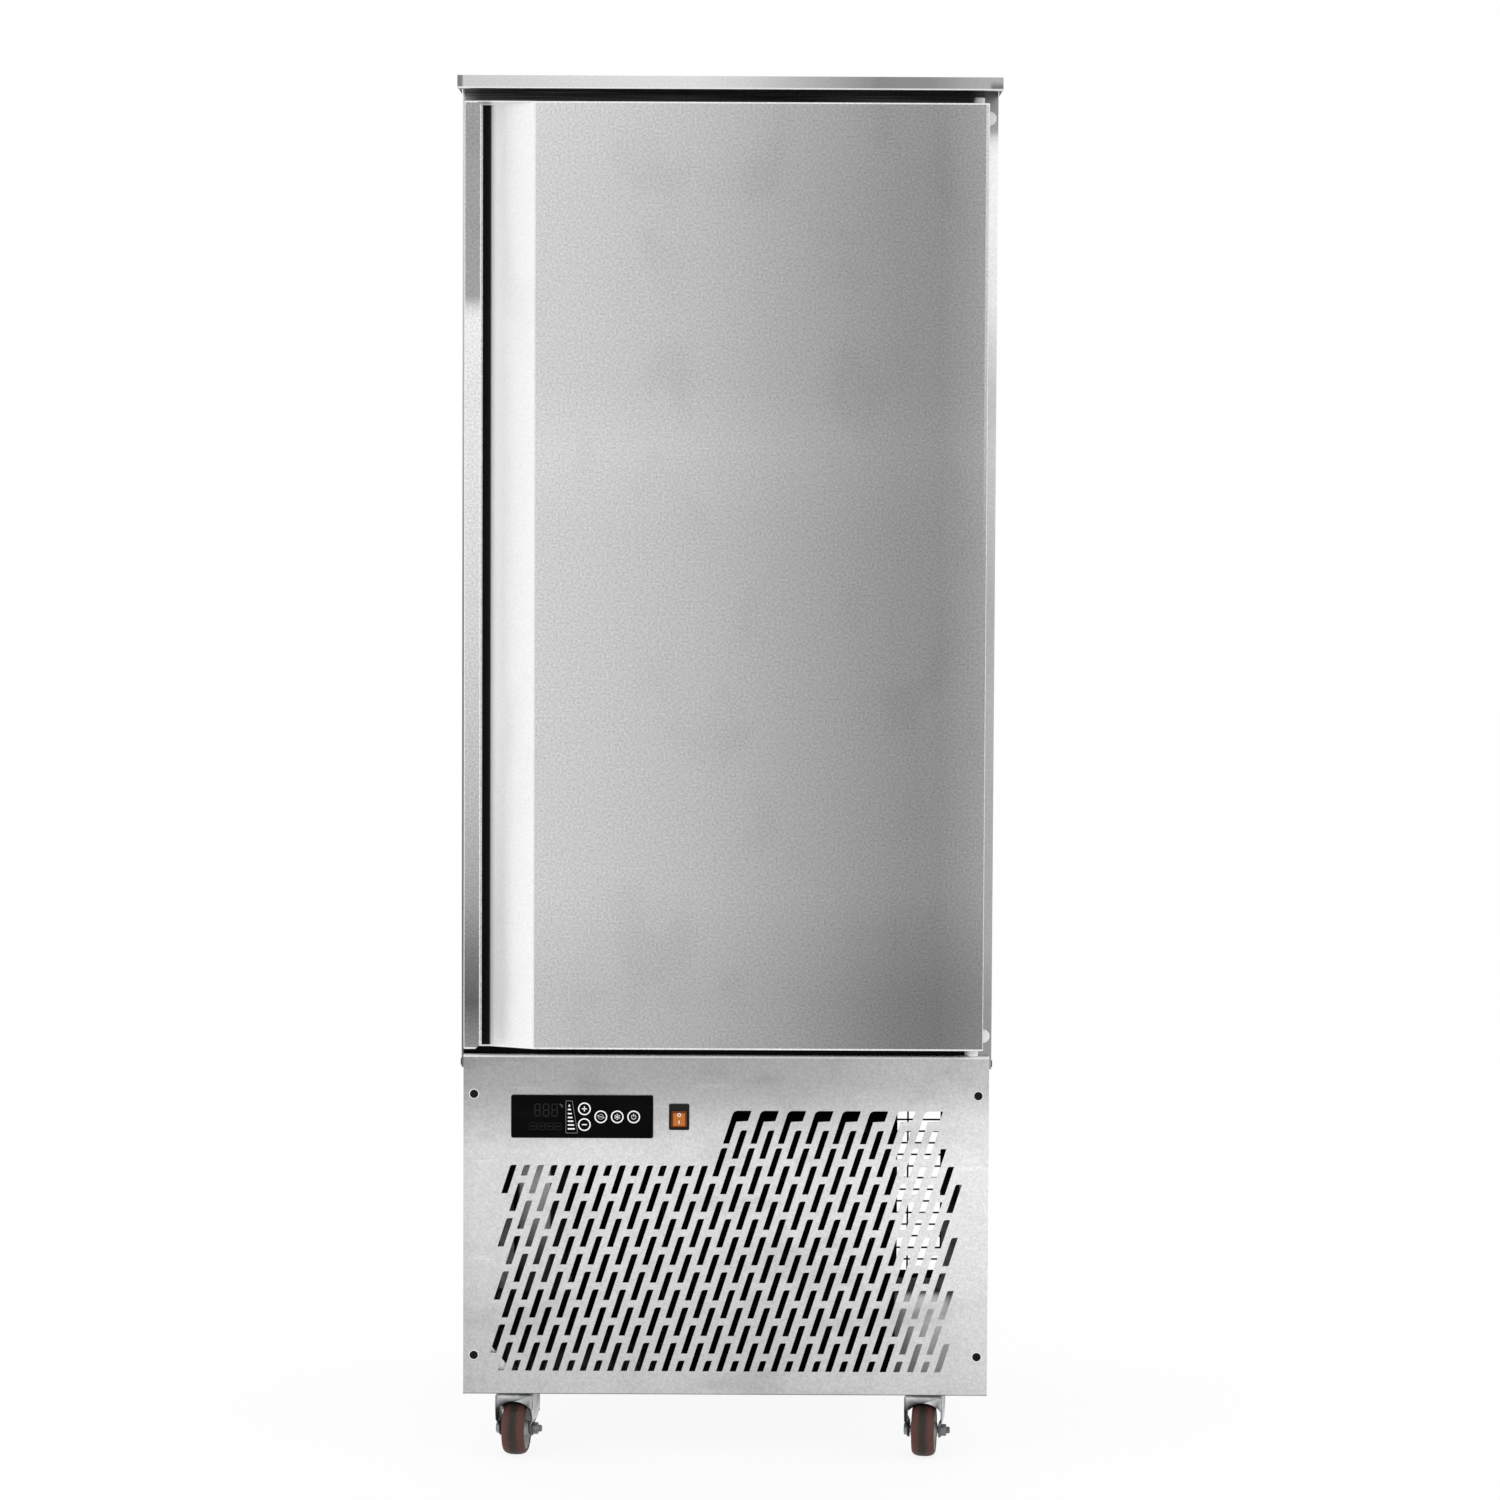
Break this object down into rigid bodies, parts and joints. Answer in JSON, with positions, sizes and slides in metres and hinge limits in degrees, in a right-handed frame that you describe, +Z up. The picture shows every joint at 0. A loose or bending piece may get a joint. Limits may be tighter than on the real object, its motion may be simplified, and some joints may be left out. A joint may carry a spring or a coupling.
{
  "type": "blast chiller",
  "caption": "Tall stainless blast chiller with a full-height recessed door grip, a slanted-slot lower panel with controller and switch, and swivel casters.",
  "frame": {"origin": "on the floor under the middle of the cabinet's width and depth", "axes": "+Z up, -Y towards the front of the door, +X to the right seen from the front"},
  "size_m": [0.743, 0.8, 1.916],
  "materials": {
    "stainless": "fine brushed stainless sheet",
    "liner_steel": "plain stainless sheet",
    "zinc": "zinc-plated steel",
    "foam": "rigid polyurethane foam",
    "grey_plastic": "moulded frame",
    "gasket_rubber": "soft magnetic gasket",
    "fin_aluminium": "mill aluminium",
    "black_metal": "black enamel",
    "black_gloss": "polished black",
    "black_plastic": "moulded black",
    "amber": "tinted clear rocker",
    "tyre_red": "maroon polyurethane tread",
    "hub_grey": "moulded hub",
    "copper": "drawn copper pipe"
  },
  "bodies": {
    "cabinet": {"cabinet_shell": "stainless", "cabinet_insulation": "foam", "inner_liner": "liner_steel", "mouth_frame": "grey_plastic", "top_cover": "stainless", "top_hinge_bracket": "zinc", "bottom_hinge_bracket": "zinc", "left_rack": "liner_steel", "right_rack": "liner_steel", "fan_cover": "liner_steel", "evaporator_coil": "fin_aluminium", "upper_evaporator_motor": "black_metal", "lower_evaporator_motor": "black_metal", "base_frame": "zinc", "grille_panel": "stainless", "left_side_cover": "stainless", "right_side_cover": "stainless", "rear_cover": "black_metal", "controller_case": "black_gloss", "switch_case": "black_plastic", "condenser_coil": "black_metal", "condenser_shroud": "black_metal", "condenser_fan_motor": "black_metal", "compressor": "black_metal", "liquid_receiver": "black_metal", "suction_line": "copper", "electrics_box": "zinc", "front_left_caster_plate": "zinc", "front_right_caster_plate": "zinc", "rear_left_caster_plate": "zinc", "rear_right_caster_plate": "zinc"},
    "door": {"door_skin": "stainless", "door_insulation": "foam", "door_liner": "liner_steel", "door_gasket": "gasket_rubber"},
    "upper_fan": {"upper_evaporator_fan": "fin_aluminium"},
    "lower_fan": {"lower_evaporator_fan": "fin_aluminium"},
    "condenser_fan_wheel": {"condenser_fan": "fin_aluminium"},
    "rocker": {"switch_rocker": "amber"},
    "key_up_cap": {"key_up": "black_gloss"},
    "key_down_cap": {"key_down": "black_gloss"},
    "key_cycle_cap": {"key_cycle": "black_gloss"},
    "key_freeze_cap": {"key_freeze": "black_gloss"},
    "key_power_cap": {"key_power": "black_gloss"},
    "front_left_swivel": {"front_left_caster_fork": "zinc", "front_left_caster_axle": "zinc"},
    "front_left_wheel": {"front_left_caster_tyre": "tyre_red", "front_left_caster_hub": "hub_grey"},
    "front_right_swivel": {"front_right_caster_fork": "zinc", "front_right_caster_axle": "zinc"},
    "front_right_wheel": {"front_right_caster_tyre": "tyre_red", "front_right_caster_hub": "hub_grey"},
    "rear_left_swivel": {"rear_left_caster_fork": "zinc", "rear_left_caster_axle": "zinc"},
    "rear_left_wheel": {"rear_left_caster_tyre": "tyre_red", "rear_left_caster_hub": "hub_grey"},
    "rear_right_swivel": {"rear_right_caster_fork": "zinc", "rear_right_caster_axle": "zinc"},
    "rear_right_wheel": {"rear_right_caster_tyre": "tyre_red", "rear_right_caster_hub": "hub_grey"}
  },
  "joints": [
    {"name": "door_swing", "type": "hinge", "parent": "cabinet", "child": "door", "pos_m": [0.3415, -0.365, 1.233], "axis": [0, 0, 1], "range_deg": [0, 110]},
    {"name": "upper_fan_spin", "type": "hinge", "parent": "cabinet", "child": "upper_fan", "pos_m": [0, 0.158, 1.54365], "axis": [0, 1, 0], "continuous": true},
    {"name": "lower_fan_spin", "type": "hinge", "parent": "cabinet", "child": "lower_fan", "pos_m": [0, 0.158, 0.93055], "axis": [0, 1, 0], "continuous": true},
    {"name": "condenser_fan_spin", "type": "hinge", "parent": "cabinet", "child": "condenser_fan_wheel", "pos_m": [0.075, -0.1597, 0.2723], "axis": [0, 1, 0], "continuous": true},
    {"name": "switch_rock", "type": "hinge", "parent": "cabinet", "child": "rocker", "pos_m": [-0.0655, -0.3334, 0.4798], "axis": [1, 0, 0], "range_deg": [0, 20]},
    {"name": "key_up_press", "type": "slide", "parent": "cabinet", "child": "key_up_cap", "axis": [0, 1, 0], "range_m": [0, 0.0008], "stiffness_N_per_m": 300},
    {"name": "key_down_press", "type": "slide", "parent": "cabinet", "child": "key_down_cap", "axis": [0, 1, 0], "range_m": [0, 0.0008], "stiffness_N_per_m": 300},
    {"name": "key_cycle_press", "type": "slide", "parent": "cabinet", "child": "key_cycle_cap", "axis": [0, 1, 0], "range_m": [0, 0.0008], "stiffness_N_per_m": 300},
    {"name": "key_freeze_press", "type": "slide", "parent": "cabinet", "child": "key_freeze_cap", "axis": [0, 1, 0], "range_m": [0, 0.0008], "stiffness_N_per_m": 300},
    {"name": "key_power_press", "type": "slide", "parent": "cabinet", "child": "key_power_cap", "axis": [0, 1, 0], "range_m": [0, 0.0008], "stiffness_N_per_m": 300},
    {"name": "front_left_swivel_turn", "type": "hinge", "parent": "cabinet", "child": "front_left_swivel", "pos_m": [-0.292, -0.29, 0.088], "axis": [0, 0, 1], "continuous": true},
    {"name": "front_left_wheel_spin", "type": "hinge", "parent": "front_left_swivel", "child": "front_left_wheel", "pos_m": [-0.29346, -0.30191, 0.03727], "axis": [0.9925, -0.1219, 0], "continuous": true},
    {"name": "front_right_swivel_turn", "type": "hinge", "parent": "cabinet", "child": "front_right_swivel", "pos_m": [0.282, -0.29, 0.088], "axis": [0, 0, 1], "continuous": true},
    {"name": "front_right_wheel_spin", "type": "hinge", "parent": "front_right_swivel", "child": "front_right_wheel", "pos_m": [0.28054, -0.30191, 0.03727], "axis": [0.9925, -0.1219, 0], "continuous": true},
    {"name": "rear_left_swivel_turn", "type": "hinge", "parent": "cabinet", "child": "rear_left_swivel", "pos_m": [-0.292, 0.34, 0.088], "axis": [0, 0, 1], "continuous": true},
    {"name": "rear_left_wheel_spin", "type": "hinge", "parent": "rear_left_swivel", "child": "rear_left_wheel", "pos_m": [-0.29346, 0.32809, 0.03727], "axis": [0.9925, -0.1219, 0], "continuous": true},
    {"name": "rear_right_swivel_turn", "type": "hinge", "parent": "cabinet", "child": "rear_right_swivel", "pos_m": [0.282, 0.34, 0.088], "axis": [0, 0, 1], "continuous": true},
    {"name": "rear_right_wheel_spin", "type": "hinge", "parent": "rear_right_swivel", "child": "rear_right_wheel", "pos_m": [0.28054, 0.32809, 0.03727], "axis": [0.9925, -0.1219, 0], "continuous": true}
  ]
}
